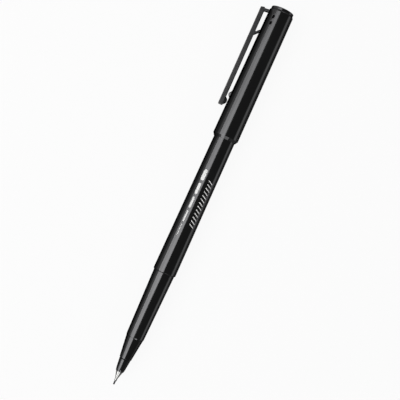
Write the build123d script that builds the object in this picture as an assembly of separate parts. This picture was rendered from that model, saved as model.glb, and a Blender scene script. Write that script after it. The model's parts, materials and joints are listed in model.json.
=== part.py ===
from build123d import *
import os
from math import asin, atan2, cos, degrees, hypot, sin

# A fineliner pen, lying on its side with its cap posted on the rear end.
# Lengths are millimetres, and radii are measured from the pen's axis.
# A station is a distance along the axis from the point of the nib towards the crown.

# Fits
PRESS_FIT = 0.02
AIR_GAP = 0.15
CAP_CLEARANCE = 0.05
SEAT_GAP = 0.2

# Nib and metal tip
NIB_R = 0.31
NIB_BARE = 1.45
NIB_POINT_ROUND = 0.15
NIB_SHANK_R = 0.74
SLEEVE_WALL = 0.13
SLEEVE_LENGTH = 1.3
CONE_LENGTH = 2.55
TIP_SHANK_WALL = 0.57
TIP_SHANK_LENGTH = 5.0

# Nozzle
NOZZLE_LENGTH = 5.2
NOZZLE_NOSE_LENGTH = 0.8
NOZZLE_LIP = 0.1
NOZZLE_FRONT_WALL = 0.35
NOZZLE_FLARE = 0.46
NOZZLE_TENON_WALL = 0.37
NOZZLE_TENON_LENGTH = 6.4
NOZZLE_EDGE = 0.12

# Reservoir, its wrap and the wick
RESERVOIR_R = 2.75
FILM = 0.18
WICK_BITE = 10.0
RESERVOIR_REACH = 13.9
RESERVOIR_REAR_ROOM = 0.6

# Grip section
NOZZLE_STEP = 0.16
TAPER_LENGTH = 8.7
TAPER_KINK_ROUND = 0.8
GRIP_LENGTH = 26.4
GRIP_NARROWING = 0.687
SECTION_TENON_WALL = 0.45
SECTION_TENON_LENGTH = 12.0

# Barrel and its rear plug
BARREL_STEP = 0.345
BARREL_FRONT_WALL = 0.865
BARREL_REAR_WALL = 0.885
BARREL_LENGTH = 83.4
BARREL_EDGE_LENGTH = 0.44
BARREL_EDGE_DROP = 0.3
PLUG_FLANGE = 0.8
PLUG_EDGE = 0.1
PLUG_TENON_LENGTH = 5.0
PLUG_TENON_WALL = 0.8

# Cap, its crown and the inner cap
CAP_MOUTH_WALL = 0.81
CAP_REAR_WALL = 0.675
CAP_LIP_LENGTH = 1.08
CAP_LIP_FACE = 0.12
CAP_EDGE_LENGTH = 0.5
CAP_EDGE_DROP = 0.31
CAP_EDGE_ROUND = 0.6
CROWN_HEIGHT = 1.0
CROWN_SETBACK = 0.05
CROWN_RIM_ROUND = 0.35
CROWN_TENON_LENGTH = 1.05
CROWN_TENON_WALL = 0.7
INNER_CAP_WALL = 0.5
INNER_CAP_END = 0.7
SEAL_REACH = 4.8
NIB_ROOM = 4.3
POST_GAP = 0.3

# Vent slots beside the clip
VENT_LENGTH = 1.3
VENT_WIDTH = 0.9
VENT_SETBACK = 3.3
VENT_PITCH = 2.5
VENT_COUNT = 2
VENT_TURN = 61.0

# Clip
CLIP_LENGTH = 39.5
CLIP_SETBACK = 0.75
CLIP_WIDTH = 2.0
CLIP_THICKNESS = 1.8
CLIP_HEAD_GAP = 1.55
CLIP_TAIL_GAP = 1.08
CLIP_EDGE = 0.25
ARM_THICKNESS = 1.4
ARM_SLANT = 0.35
STRUT_PLACE = 10.64
STRUT_THICKNESS = 1.2
STRUT_SLANT = 2.8
FOOT_DEPTH = 0.35
HINGE_BEHIND_STRUT = 0.46
HINGE_REACH = 0.85
HINGE_GAP = 0.06
BALL_R = 1.6
BALL_WIDTH = 1.9
BALL_SETBACK = 1.9
BALL_GAP = 0.12
PIP_SPACING = 3.0
PIP_HEIGHT = 0.7
PIP_LENGTH = 2.05


def between(start, end, place):
    """Value on the straight line between two (place, value) pairs."""
    share = (place - start[0]) / (end[0] - start[0])
    return start[1] + share * (end[1] - start[1])


# Stations from the nib's point to the crown
sleeve_front = NIB_BARE
cone_front = sleeve_front + SLEEVE_LENGTH
nozzle_front = cone_front + CONE_LENGTH
nozzle_rear = nozzle_front + NOZZLE_LENGTH
wick_front = nozzle_front + TIP_SHANK_LENGTH
kink = nozzle_rear + TAPER_LENGTH
barrel_front = kink + GRIP_LENGTH
barrel_rear = barrel_front + BARREL_LENGTH
plug_rear = barrel_rear + PLUG_FLANGE
seal = nozzle_rear + SEAL_REACH
reservoir_seat = barrel_front - RESERVOIR_REACH
reservoir_front = reservoir_seat + SEAT_GAP
reservoir_rear = barrel_rear - PLUG_TENON_LENGTH - RESERVOIR_REAR_ROOM
wick_rear = reservoir_front + WICK_BITE

# The inner cap's rim meets the cone when the mouth meets the step, and stops the posted barrel
rim_depth = barrel_front - seal
cap_mouth = plug_rear + POST_GAP - rim_depth
inner_cap_rim = cap_mouth + rim_depth
inner_cap_floor = cap_mouth + barrel_front + NIB_ROOM
inner_cap_rear = inner_cap_floor + INNER_CAP_END
cap_rear = inner_cap_rear + CROWN_TENON_LENGTH
crown_rear = cap_rear + CROWN_HEIGHT

# Radii of the barrel's side, each worked out from what it holds
sleeve_bore = NIB_R + PRESS_FIT
sleeve_r = sleeve_bore + SLEEVE_WALL
tip_bore = NIB_SHANK_R + PRESS_FIT
tip_r = tip_bore + TIP_SHANK_WALL
wick_r = tip_r
nozzle_bore = tip_r + PRESS_FIT
nozzle_front_r = nozzle_bore + NOZZLE_FRONT_WALL
nozzle_rear_r = nozzle_front_r + NOZZLE_FLARE
nozzle_tenon_r = nozzle_bore + NOZZLE_TENON_WALL
taper_front_r = nozzle_rear_r + NOZZLE_STEP
wrap_bore = RESERVOIR_R + PRESS_FIT
wrap_r = wrap_bore + FILM
barrel_bore = wrap_r + AIR_GAP
section_tenon_r = barrel_bore + SECTION_TENON_WALL
section_socket_r = section_tenon_r + PRESS_FIT
barrel_front_r = section_socket_r + BARREL_FRONT_WALL
barrel_rear_r = barrel_bore + BARREL_REAR_WALL
grip_rear_r = barrel_front_r - BARREL_STEP
kink_r = grip_rear_r - GRIP_NARROWING
plug_tenon_r = barrel_bore - PRESS_FIT

# Radii of the cap's side, each worked out from the barrel and the cone
barrel_line = ((barrel_front, barrel_front_r), (barrel_rear, barrel_rear_r))
cap_mouth_bore = between(*barrel_line, cap_mouth) + CAP_CLEARANCE
cap_rear_bore = barrel_rear_r + CAP_CLEARANCE
cap_mouth_r = cap_mouth_bore + CAP_MOUTH_WALL
cap_rear_r = cap_rear_bore + CAP_REAR_WALL
cap_line = ((cap_mouth, cap_mouth_r), (cap_rear, cap_rear_r))
lip_station = cap_mouth + CAP_LIP_LENGTH
lip_r = between(*cap_line, lip_station)
crown_r = cap_rear_r - CAP_EDGE_DROP - CROWN_SETBACK
fitted_in_cap_r = cap_rear_bore - PRESS_FIT
inner_cap_bore = between((nozzle_rear, taper_front_r), (kink, kink_r), seal)
inner_cap_r = inner_cap_bore + INNER_CAP_WALL

# Places of the clip
clip_head = cap_rear - CLIP_SETBACK
clip_tail = clip_head - CLIP_LENGTH
clip_inner_head = between(*cap_line, clip_head) + CLIP_HEAD_GAP
clip_inner_tail = between(*cap_line, clip_tail) + CLIP_TAIL_GAP
clip_line = ((clip_head, clip_inner_head), (clip_tail, clip_inner_tail))
strut_at_bar = clip_head - STRUT_PLACE
hinge_station = strut_at_bar - STRUT_THICKNESS - HINGE_BEHIND_STRUT
hinge_height = between(*clip_line, hinge_station) + CLIP_THICKNESS / 2
knuckle_r = hypot(CLIP_THICKNESS / 2, HINGE_REACH)
ball_station = clip_tail + BALL_SETBACK
ball_height = between(*cap_line, ball_station) + BALL_GAP + BALL_R
pip_station = ball_station + PIP_SPACING

# The pen lies on the widest ring of the cap and on the lower corner of the clip's head
clip_outer_head = clip_inner_head + CLIP_THICKNESS
corner_reach = hypot(clip_outer_head, CLIP_WIDTH / 2)
clip_drop = asin(lip_r / corner_reach) - atan2(CLIP_WIDTH / 2, clip_outer_head)
clip_side = clip_outer_head * cos(clip_drop) + CLIP_WIDTH / 2 * sin(clip_drop)
axis_offset = (clip_side - lip_r) / 2
clip_down = Rot(X=-90 - degrees(clip_drop))
point_forward = Rot(Z=180)
row_frame = Pos(crown_rear / 2, axis_offset, lip_r) * point_forward * clip_down


def outline_face(corners, rounded=()):
    """Closed outline from (station, height) corners, some of them rounded off."""
    face = make_face(Polyline(*corners, close=True))
    for corner, radius in rounded:
        nearest = face.vertices().sort_by_distance(Vector(*corner))[0]
        face = fillet(nearest, radius)
    return face


def turned(corners, rounded=()):
    """Outline of (station, radius) corners turned about the pen's axis."""
    return revolve(outline_face(corners, rounded), Axis.X)


def slab(corners, width):
    """Outline of (station, height) corners, widened evenly to both sides of the clip's middle."""
    return extrude(Plane.XZ * outline_face(corners), amount=width / 2, both=True)


def make_barrel_tube():
    """Tapered tube with a socket for the section at its front."""
    socket_end = barrel_front + SECTION_TENON_LENGTH + SEAT_GAP
    edge_r = between(*barrel_line, barrel_front + BARREL_EDGE_LENGTH)
    return turned([
        (barrel_front, section_socket_r),
        (barrel_front, edge_r - BARREL_EDGE_DROP),
        (barrel_front + BARREL_EDGE_LENGTH, edge_r),
        (barrel_rear, barrel_rear_r),
        (barrel_rear, barrel_bore),
        (socket_end, barrel_bore),
        (socket_end, section_socket_r),
    ])


def make_rear_plug():
    """Cup-shaped plug with a thin flange that closes the barrel's rear end."""
    cored_r = plug_tenon_r - PLUG_TENON_WALL
    return turned([
        (barrel_rear - PLUG_TENON_LENGTH, cored_r),
        (barrel_rear - PLUG_TENON_LENGTH, plug_tenon_r),
        (barrel_rear, plug_tenon_r),
        (barrel_rear, barrel_rear_r - PLUG_EDGE),
        (plug_rear, barrel_rear_r - PLUG_EDGE),
        (plug_rear, 0),
        (barrel_rear, 0),
        (barrel_rear, cored_r),
    ])


def make_grip_section():
    """Section with its cone in front, its tenon behind and the reservoir's seat inside."""
    socket_r = nozzle_tenon_r + PRESS_FIT
    socket_end = nozzle_rear + NOZZLE_TENON_LENGTH + SEAT_GAP
    wick_way_r = wick_r + AIR_GAP
    return turned([
        (nozzle_rear, socket_r),
        (nozzle_rear, taper_front_r),
        (kink, kink_r),
        (barrel_front, grip_rear_r),
        (barrel_front, section_tenon_r),
        (barrel_front + SECTION_TENON_LENGTH, section_tenon_r),
        (barrel_front + SECTION_TENON_LENGTH, barrel_bore),
        (reservoir_seat, barrel_bore),
        (reservoir_seat, wick_way_r),
        (socket_end, wick_way_r),
        (socket_end, socket_r),
    ], [((kink, kink_r), TAPER_KINK_ROUND)])


def make_nozzle():
    """Small nose with a rounded front, a stepped rear edge and a tenon in the section."""
    tenon_rear = nozzle_rear + NOZZLE_TENON_LENGTH
    nose_rear = nozzle_front + NOZZLE_NOSE_LENGTH
    nose_round = NOZZLE_NOSE_LENGTH / 2
    return turned([
        (nozzle_front, nozzle_bore),
        (nozzle_front, nozzle_bore + NOZZLE_LIP),
        (nose_rear, nozzle_front_r),
        (nozzle_rear - NOZZLE_EDGE, nozzle_rear_r),
        (nozzle_rear, nozzle_rear_r - NOZZLE_EDGE),
        (nozzle_rear, nozzle_tenon_r),
        (tenon_rear, nozzle_tenon_r),
        (tenon_rear, nozzle_bore),
    ], [((nose_rear, nozzle_front_r), nose_round)])


def make_metal_tip():
    """Drawn cone with a thin sleeve in front and a hollow shank behind."""
    return turned([
        (sleeve_front, sleeve_bore),
        (sleeve_front, sleeve_r),
        (cone_front, sleeve_r),
        (nozzle_front, tip_r),
        (wick_front, tip_r),
        (wick_front, tip_bore),
        (nozzle_front, tip_bore),
        (nozzle_front, sleeve_bore),
    ])


def make_nib():
    """Fibre point with a thicker shank inside the metal tip."""
    return turned([
        (0, 0),
        (0, NIB_R),
        (nozzle_front, NIB_R),
        (nozzle_front, NIB_SHANK_R),
        (wick_front, NIB_SHANK_R),
        (wick_front, 0),
    ], [((0, NIB_R), NIB_POINT_ROUND)])


def make_feed_wick():
    """Fibre rod from the nib's shank into the reservoir."""
    return turned([(wick_front, 0), (wick_front, wick_r), (wick_rear, wick_r), (wick_rear, 0)])


def make_ink_reservoir():
    """Fibre rod with a blind hole in its front end for the wick."""
    hole_r = wick_r + PRESS_FIT
    hole_end = wick_rear + SEAT_GAP
    return turned([
        (reservoir_front, hole_r),
        (reservoir_front, RESERVOIR_R),
        (reservoir_rear, RESERVOIR_R),
        (reservoir_rear, 0),
        (hole_end, 0),
        (hole_end, hole_r),
    ])


def make_reservoir_wrap():
    """Thin sleeve of film round the reservoir."""
    return turned([
        (reservoir_front, wrap_bore),
        (reservoir_front, wrap_r),
        (reservoir_rear, wrap_r),
        (reservoir_rear, wrap_bore),
    ])


def leg_corners(foot, head, thickness, grown=0.0):
    """Corners of a leg from a pocket in the cap's wall up into the clip's bar."""
    foot_height = between(*cap_line, foot - thickness / 2) - FOOT_DEPTH
    head_height = between(*clip_line, head) + CLIP_THICKNESS / 2
    return [
        (foot - thickness - grown, foot_height - grown),
        (head - thickness - grown, head_height),
        (head + grown, head_height),
        (foot + grown, foot_height - grown),
    ]


def make_leg(foot_shift, head, thickness, grown=0.0):
    """One leg of the clip's head, or its pocket where it is grown by a clearance."""
    return slab(leg_corners(head + foot_shift, head, thickness, grown), CLIP_WIDTH + 2 * grown)


def clip_legs(grown=0.0):
    """The arm at the clip's head and the slanted strut below it."""
    arm = make_leg(ARM_SLANT, clip_head, ARM_THICKNESS, grown)
    strut = make_leg(STRUT_SLANT, strut_at_bar, STRUT_THICKNESS, grown)
    return arm + strut


def make_bar(low, high):
    """Stretch of the clip's bar between two stations."""
    return slab([
        (low, between(*clip_line, low)),
        (low, between(*clip_line, low) + CLIP_THICKNESS),
        (high, between(*clip_line, high) + CLIP_THICKNESS),
        (high, between(*clip_line, high)),
    ], CLIP_WIDTH)


def make_knuckle(radius):
    """Round rod across the clip on the line that it bends about."""
    rod = Cylinder(radius, CLIP_WIDTH, rotation=(90, 0, 0))
    return Pos(hinge_station, 0, hinge_height) * rod


def make_clip_bridge():
    """Fixed head of the clip: arm, strut and the bar between them, ending in a round seat."""
    head = make_bar(hinge_station, clip_head) + clip_legs()
    return head - make_knuckle(knuckle_r + HINGE_GAP)


def make_clip_blade():
    """Free length of the clip with its round end in the seat and the ball near its tail."""
    length = make_bar(clip_tail, hinge_station)
    round_end = make_bar(hinge_station, clip_head) & make_knuckle(knuckle_r)
    tail = length.edges().group_by(Axis.X)[0].filter_by(Axis.Y)
    softened = chamfer(tail, CLIP_EDGE)
    half_ellipse = split(Ellipse(BALL_R, BALL_WIDTH / 2), Plane.YZ)
    ball = Pos(ball_station, 0, ball_height) * revolve(half_ellipse, Axis.Y, 180)
    return softened + round_end + ball


def cap_bore_corners():
    """Corners of the cap's hollow: tapered over the barrel, even behind it."""
    return [
        (cap_mouth, 0),
        (cap_mouth, cap_mouth_bore),
        (inner_cap_rim, cap_rear_bore),
        (cap_rear, cap_rear_bore),
        (cap_rear, 0),
    ]


def make_pip():
    """Low round ridge across the cap, under the clip."""
    surface = between(*cap_line, pip_station)
    ridge_r = (PIP_LENGTH ** 2 / 4 + PIP_HEIGHT ** 2) / (2 * PIP_HEIGHT)
    ridge = Cylinder(ridge_r, CLIP_WIDTH, rotation=(90, 0, 0))
    return Pos(pip_station, 0, surface + PIP_HEIGHT - ridge_r) * ridge


def make_vents():
    """Slots through the cap's wall, in a row along the cap beside the clip."""
    slot = extrude(SlotOverall(VENT_LENGTH, VENT_WIDTH), amount=lip_r)
    first = cap_rear - VENT_SETBACK
    row = [Pos(first - index * VENT_PITCH) * slot for index in range(VENT_COUNT)]
    return Rot(X=VENT_TURN) * Compound(children=row)


def make_cap_shell():
    """Cap tube with a bevelled mouth, a rounded rear edge, the pip, vents and clip pockets."""
    edge_station = cap_rear - CAP_EDGE_LENGTH
    edge_corner = (edge_station, between(*cap_line, edge_station))
    outside = turned([
        (cap_mouth, 0),
        (cap_mouth, cap_mouth_bore + CAP_LIP_FACE),
        (lip_station, lip_r),
        edge_corner,
        (cap_rear, cap_rear_r - CAP_EDGE_DROP),
        (cap_rear, 0),
    ], [(edge_corner, CAP_EDGE_ROUND)])
    return outside + make_pip() - turned(cap_bore_corners()) - make_vents() - clip_legs(PRESS_FIT)


def make_cap_crown():
    """End disc of the cap with a soft rim and a hollow tenon."""
    return turned([
        (inner_cap_rear, fitted_in_cap_r - CROWN_TENON_WALL),
        (inner_cap_rear, fitted_in_cap_r),
        (cap_rear, fitted_in_cap_r),
        (cap_rear, crown_r),
        (crown_rear, crown_r),
        (crown_rear, 0),
        (cap_rear, 0),
        (cap_rear, fitted_in_cap_r - CROWN_TENON_WALL),
    ], [((crown_rear, crown_r), CROWN_RIM_ROUND)])


def make_inner_cap():
    """Sealing cup with a flange that fills the cap's bore in front of the crown."""
    return turned([
        (inner_cap_rim, inner_cap_bore),
        (inner_cap_rim, inner_cap_r),
        (inner_cap_floor, inner_cap_r),
        (inner_cap_floor, fitted_in_cap_r),
        (inner_cap_rear, fitted_in_cap_r),
        (inner_cap_rear, 0),
        (inner_cap_floor, 0),
        (inner_cap_floor, inner_cap_bore),
    ])


pieces = {
    "barrel_tube": make_barrel_tube,
    "rear_plug": make_rear_plug,
    "grip_section": make_grip_section,
    "nozzle": make_nozzle,
    "metal_tip": make_metal_tip,
    "nib": make_nib,
    "feed_wick": make_feed_wick,
    "ink_reservoir": make_ink_reservoir,
    "reservoir_wrap": make_reservoir_wrap,
    "cap_shell": make_cap_shell,
    "cap_crown": make_cap_crown,
    "inner_cap": make_inner_cap,
    "clip_bridge": make_clip_bridge,
    "clip_blade": make_clip_blade,
}

os.makedirs("parts", exist_ok=True)
for name, make_piece in pieces.items():
    export_step(row_frame * make_piece(), f"parts/{name}.step")
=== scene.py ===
import json
from math import cos, radians, sin

import bpy
import numpy as np
from bpy.props import FloatProperty, FloatVectorProperty, IntProperty, PointerProperty
from mathutils import Matrix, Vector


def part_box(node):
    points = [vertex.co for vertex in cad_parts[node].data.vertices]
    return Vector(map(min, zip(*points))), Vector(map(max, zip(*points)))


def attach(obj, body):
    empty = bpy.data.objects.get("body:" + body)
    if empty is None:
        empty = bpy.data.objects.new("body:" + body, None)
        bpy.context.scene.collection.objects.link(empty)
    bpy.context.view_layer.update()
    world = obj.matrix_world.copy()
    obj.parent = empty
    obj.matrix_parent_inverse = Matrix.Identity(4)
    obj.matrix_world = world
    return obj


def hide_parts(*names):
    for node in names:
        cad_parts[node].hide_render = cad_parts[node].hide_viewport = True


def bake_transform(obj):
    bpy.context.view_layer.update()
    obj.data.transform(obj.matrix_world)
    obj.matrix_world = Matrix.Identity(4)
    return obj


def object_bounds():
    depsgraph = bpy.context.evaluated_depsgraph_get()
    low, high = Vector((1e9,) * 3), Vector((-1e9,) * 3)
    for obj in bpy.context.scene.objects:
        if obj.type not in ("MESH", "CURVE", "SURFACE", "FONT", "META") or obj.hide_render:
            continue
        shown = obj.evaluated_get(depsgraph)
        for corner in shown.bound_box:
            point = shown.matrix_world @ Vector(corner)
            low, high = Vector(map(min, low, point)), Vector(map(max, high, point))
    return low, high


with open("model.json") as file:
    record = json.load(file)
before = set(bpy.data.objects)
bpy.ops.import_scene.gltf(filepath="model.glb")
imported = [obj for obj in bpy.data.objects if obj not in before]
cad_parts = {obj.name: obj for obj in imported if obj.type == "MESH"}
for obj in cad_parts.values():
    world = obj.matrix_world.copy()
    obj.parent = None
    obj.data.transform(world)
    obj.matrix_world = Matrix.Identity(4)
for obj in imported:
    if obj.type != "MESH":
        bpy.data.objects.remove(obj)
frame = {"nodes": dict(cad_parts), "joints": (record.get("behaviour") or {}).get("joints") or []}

bl_info = {
    "name": "Fineliner Pen",
    "version": (1, 0, 0),
    "blender": (4, 5, 0),
    "location": "3D View > Sidebar > Pen",
    "description": "Builds the moulded skins, finishes and studio of a fineliner pen round its solids",
    "category": "Add Mesh",
}

# The frame, in metres. A station is a distance along the pen from the nib's point to the crown
MM = 0.001
CAD_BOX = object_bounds()
FLEX = next(joint for joint in frame["joints"] if joint["name"] == "clip_flex")
BARREL_LOW, BARREL_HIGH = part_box("barrel_tube")
NIB_POINT = np.array([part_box("nib")[1].x, *((BARREL_LOW + BARREL_HIGH) / 2).yz])
REARWARD = np.array([-1.0, 0.0, 0.0])
FACING = -np.array(FLEX["axis"]) / np.linalg.norm(FLEX["axis"])
CLIPWARD = np.cross(FACING, REARWARD)

# How finely the surfaces are drawn
ARC_STEPS = 10
SUPPORT = 0.2
SIDE_SHARE = 0.4
LONGEST_RUN = 3 * MM
ROUND_SEGMENTS = 144
WORN_ROUND = 0.25 * MM
CREASE = radians(24)


def span(node):
    """Front station, rear station and greatest radius of a round CAD node."""
    low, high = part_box(node)
    return NIB_POINT[0] - high.x, NIB_POINT[0] - low.x, (high.z - low.z) / 2


def length(label, about, millimetres):
    """Length property, written in millimetres and kept in metres."""
    return FloatProperty(name=label, description=about, default=millimetres * MM, unit="LENGTH", precision=5)


def turn(label, about, degrees):
    """Angle property, written in degrees."""
    return FloatProperty(name=label, description=about, default=radians(degrees), subtype="ANGLE")


def share(label, about, value):
    """Property between nothing and all."""
    return FloatProperty(name=label, description=about, default=value, subtype="FACTOR", min=0, max=1)


def level(label, about, value):
    """Plain number property that is never negative."""
    return FloatProperty(name=label, description=about, default=value, min=0)


def colour(label, about, value):
    """Colour property, as a linear colour."""
    return FloatVectorProperty(name=label, description=about, default=value, subtype="COLOR", min=0, max=1)


class BarrelSizes(bpy.types.PropertyGroup):
    """Sizes of the barrel tube and its rear plug."""

    rear_radius: length("Rear radius", "Outside of the tube at its rear end", 3.985)
    bore: length("Bore", "Radius of the tube's hollow", 3.1)
    socket_radius: length("Socket radius", "Radius of the socket that holds the section", 3.57)
    socket_depth: length("Socket depth", "Length of that socket", 12.2)
    edge_length: length("Edge length", "Bevel of the front edge, along the pen", 0.28)
    edge_drop: length("Edge drop", "Bevel of the front edge, across the pen", 0.2)
    edge_round: length("Edge round", "Softness of moulded edges", 0.1)
    plug_flange: length("Plug flange", "Thickness of the plug outside the tube", 0.8)
    plug_wall: length("Plug wall", "Wall of the plug's hollow tenon", 0.8)
    plug_fit: length("Plug fit", "Press fit of the plug in the bore", 0.02)


class SectionSizes(bpy.types.PropertyGroup):
    """Sizes of the grip section and the nozzle in front of it."""

    front_radius: length("Front radius", "Section where the nozzle meets it", 2.32)
    taper: length("Taper length", "From the nozzle to the kink", 8.96)
    kink_radius: length("Kink radius", "Section at the kink between taper and grip", 3.49)
    shoulder_length: length("Shoulder length", "Fine bevel in front of the kink, along the pen", 0.42)
    shoulder_drop: length("Shoulder drop", "Fine bevel in front of the kink, across the pen", 0.153)
    front_edge: length("Front edge", "Bevel of the section's front edge", 0.12)
    tenon_radius: length("Tenon radius", "Tenon in the barrel's socket", 3.55)
    bore: length("Bore", "Room for the reservoir", 3.1)
    seat: length("Reservoir seat", "From the seat to the barrel's front edge", 13.9)
    wick_way: length("Wick way", "Radius of the way through for the wick", 1.48)
    nozzle_bore: length("Nozzle bore", "Hole for the metal tip", 1.35)
    nozzle_tenon: length("Nozzle tenon radius", "Tenon in the section", 1.72)
    nozzle_socket: length("Nozzle socket depth", "Socket of that tenon", 6.6)
    nose_length: length("Nose length", "Rounded front of the nozzle", 0.8)
    nose_radius: length("Nose radius", "Nozzle behind its rounded front", 1.7)
    nose_round: length("Nose round", "Softness of the nozzle's front", 0.6)
    nose_lip: length("Nose lip", "Flat ring round the metal tip", 0.1)
    nozzle_edge: length("Nozzle edge", "Bevel where the nozzle meets the section, along the pen", 0.3)
    nozzle_drop: length("Nozzle drop", "Bevel where the nozzle meets the section, across the pen", 0.26)
    edge_round: length("Edge round", "Softness of moulded edges", 0.07)


class TipSizes(bpy.types.PropertyGroup):
    """Sizes of the metal tip and the nib."""

    sleeve_radius: length("Sleeve radius", "Outside of the sleeve round the nib", 0.49)
    sleeve_bore: length("Sleeve bore", "Inside of that sleeve", 0.33)
    sleeve: length("Sleeve length", "Straight sleeve in front of the cone", 0.95)
    cone: length("Cone length", "From the sleeve to the nozzle", 2.9)
    shank_bore: length("Shank bore", "Hollow shank behind the cone", 0.76)
    cone_round: length("Cone round", "Sweep between sleeve and cone", 1.4)
    rolled_edge: length("Rolled edge", "Softness of the sleeve's mouth", 0.05)
    nib_radius: length("Nib radius", "Writing point of the nib", 0.31)
    nib_round: length("Nib round", "Softness of the point", 0.2)


class CapSizes(bpy.types.PropertyGroup):
    """Sizes of the cap, its pip, vents, crown and liner."""

    rear_radius: length("Rear radius", "Cap at its rear end", 4.71)
    mouth_bore: length("Mouth bore", "Radius inside the mouth", 4.193)
    rear_bore: length("Rear bore", "Radius inside the rear end", 4.035)
    lip_length: length("Lip length", "Bevel of the mouth, along the pen", 1.08)
    lip_face: length("Lip face", "Flat ring round the mouth", 0.12)
    lip_round: length("Lip round", "Softness of the lip's outer corner", 0.35)
    rear_edge: length("Rear edge", "Bevel of the rear end, along the pen", 0.5)
    rear_drop: length("Rear drop", "Bevel of the rear end, across the pen", 0.31)
    rear_round: length("Rear round", "Softness of that bevel", 0.6)
    edge_round: length("Edge round", "Softness of other moulded edges", 0.06)
    pip_station: length("Pip station", "Place of the pip under the clip", 116.1)
    pip_length: length("Pip length", "Ridge along the pen", 2.9)
    pip_height: length("Pip height", "Ridge above the cap", 0.74)
    pip_side: length("Pip side", "Softness of the ridge's two ends", 0.4)
    vent_setback: length("Vent setback", "From the cap's rear end to the first vent", 3.3)
    vent_pitch: length("Vent pitch", "From one vent to the next", 2.5)
    vent_count: IntProperty(name="Vents", description="Number of vents in the row", default=2, min=1)
    vent_turn: turn("Vent turn", "From the clip round to the row of vents", 61)
    vent_length: length("Vent length", "Overall length of a vent", 1.3)
    vent_width: length("Vent width", "Width of a vent", 0.9)
    vent_depth: length("Vent depth", "Depth of a vent", 0.58)
    vent_edge: length("Vent edge", "Softness of a vent's rim", 0.07)
    crown_round: length("Crown round", "Softness of the crown's rim", 0.2)
    crown_wall: length("Crown wall", "Wall of the crown's hollow tenon", 0.7)
    gate_radius: length("Gate radius", "Mark of the mould's gate on the crown", 0.55)
    gate_depth: length("Gate depth", "Depth of that mark", 0.06)
    liner_radius: length("Liner radius", "Outside of the sealing cup", 3.4175)
    liner_wall: length("Liner wall", "Wall of the sealing cup", 0.5)
    liner_end: length("Liner end", "Thickness of the cup's closed end", 0.7)


class ClipSizes(bpy.types.PropertyGroup):
    """Sizes of the clip."""

    width: length("Width", "Clip across the pen", 2.0)
    thickness: length("Thickness", "Bar of the clip", 1.8)
    rise: length("Rise", "How much higher the bar's head stands than its tail", 0.2485)
    arm: length("Arm", "Thickness of the arm at the head", 1.4)
    arm_slant: length("Arm slant", "How far the arm's foot stands behind the head", 0.35)
    head_slant: length("Head slant", "How far the head's outer corner stands forward", 0.22)
    arm_step: length("Arm step", "How far the arm stands in front of the head", 0.34)
    arm_step_height: length("Arm step height", "From the bar's underside up to that step", 0.25)
    strut_place: length("Strut place", "From the head to the strut, on the bar", 10.64)
    strut: length("Strut", "Thickness of the strut", 1.2)
    strut_slant: length("Strut slant", "How far the strut's foot stands behind its top", 2.8)
    foot_depth: length("Foot depth", "Depth of the feet in the cap's wall", 0.35)
    corner_round: length("Corner round", "Softness of the clip's outer corners", 0.34)
    inner_round: length("Inner round", "Fillets where arm and strut meet the bar", 0.2)
    edge_round: length("Edge round", "Softness of the long edges", 0.24)
    ball_setback: length("Ball setback", "From the tail to the ball", 1.9)
    ball_radius: length("Ball radius", "Ball under the tail, seen from the side", 1.6)
    ball_width: length("Ball width", "Ball across the clip", 1.9)
    ball_gap: length("Ball gap", "From the ball to the cap", 0.12)
    flex_lead: length("Flex lead", "Where bending starts, before the bend's middle", 1.2)
    flex_length: length("Flex length", "Length of the bar that bends", 14.0)


class PrintSizes(bpy.types.PropertyGroup):
    """Sizes of the plain white print on the barrel: strokes of growing weight over a row of hatching."""

    thickness: length("Ink thickness", "Height of the ink above the barrel", 0.015)
    stroke_start: length("Stroke start", "Station where the row of strokes starts", 60.5)
    strokes: IntProperty(name="Strokes", description="Number of strokes in the row", default=5, min=1)
    stroke: length("Stroke length", "Length of each stroke", 4.4)
    gap: length("Stroke gap", "From one stroke to the next", 1.1)
    finest: length("Finest stroke", "Width of the first stroke", 0.25)
    boldest: length("Boldest stroke", "Width of the last stroke", 1.45)
    stroke_turn: turn("Stroke turn", "From the clip round to the row of strokes", 70)
    hatch_start: length("Hatch start", "Station where the hatching starts", 65.0)
    hatches: IntProperty(name="Hatch marks", description="Number of marks in the hatching", default=13, min=1)
    hatch_pitch: length("Hatch pitch", "From one mark to the next", 1.45)
    hatch_height: length("Hatch height", "Reach of a mark round the barrel", 2.1)
    hatch_slant: length("Hatch slant", "Reach of a mark along the barrel", 1.1)
    hatch_width: length("Hatch width", "Width of a mark", 0.34)
    hatch_turn: turn("Hatch turn", "From the clip round to the hatching", 119)


class Finishes(bpy.types.PropertyGroup):
    """Colours and gloss of the pen's materials."""

    black: colour("Black", "What the gloss black of barrel, section and cap mirrors", (0.040, 0.040, 0.041))
    clip_black: colour("Clip black", "What the satin black of the clip mirrors", (0.046, 0.046, 0.047))
    rubbed: colour("Rubbed black", "Black where edges have been rubbed", (0.075, 0.075, 0.077))
    gloss: share("Gloss roughness", "Roughness of the gloss mouldings", 0.13)
    satin: share("Satin roughness", "Roughness of the clip", 0.36)
    steel: colour("Steel", "Drawn metal tip", (0.27, 0.27, 0.266))
    steel_roughness: share("Steel roughness", "Roughness of the metal tip", 0.2)
    fibre: colour("Nib fibre", "Ink-soaked nib and wick", (0.010, 0.010, 0.012))
    reservoir: colour("Reservoir fibre", "Ink-soaked reservoir", (0.10, 0.10, 0.11))
    film: colour("Film", "Film round the reservoir", (0.78, 0.78, 0.76))
    film_roughness: share("Film roughness", "Roughness of that film", 0.3)
    natural: colour("Natural plastic", "Sealing cup inside the cap", (0.72, 0.72, 0.69))
    natural_roughness: share("Natural roughness", "Roughness of that cup", 0.35)
    ink: colour("Print", "White ink on the barrel", (0.86, 0.86, 0.85))


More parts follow.
